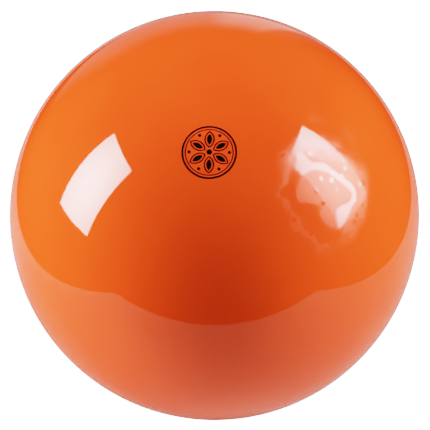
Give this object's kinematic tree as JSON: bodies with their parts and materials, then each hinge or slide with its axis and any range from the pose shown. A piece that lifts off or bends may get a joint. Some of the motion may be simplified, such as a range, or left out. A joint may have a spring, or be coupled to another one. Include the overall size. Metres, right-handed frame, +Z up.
{
  "type": "gymnastics ball",
  "caption": "Seamless glossy inflatable ball for juggling and rhythmic gymnastics, with a flush self-sealing needle valve closed by a pull-out plug.",
  "frame": {"origin": "centre of the ball", "axes": "+Y out of the inflation valve, +Z up, the printed emblem on the upper front, towards -Y"},
  "size_m": [0.19, 0.19, 0.19],
  "materials": {
    "ball_shell": "gloss",
    "ink": "gloss",
    "valve_rubber": "satin",
    "core_rubber": "matte",
    "plug_rubber": "satin"
  },
  "bodies": {
    "ball": {"ball_wall": "ball_shell", "printed_emblem": "ink", "valve_housing": "valve_rubber", "valve_core": "core_rubber"},
    "plug": {"valve_plug": "plug_rubber"}
  },
  "joints": [
    {"name": "plug_pull", "type": "slide", "parent": "ball", "child": "plug", "axis": [0, 1, 0], "range_m": [0, 0.06]}
  ]
}
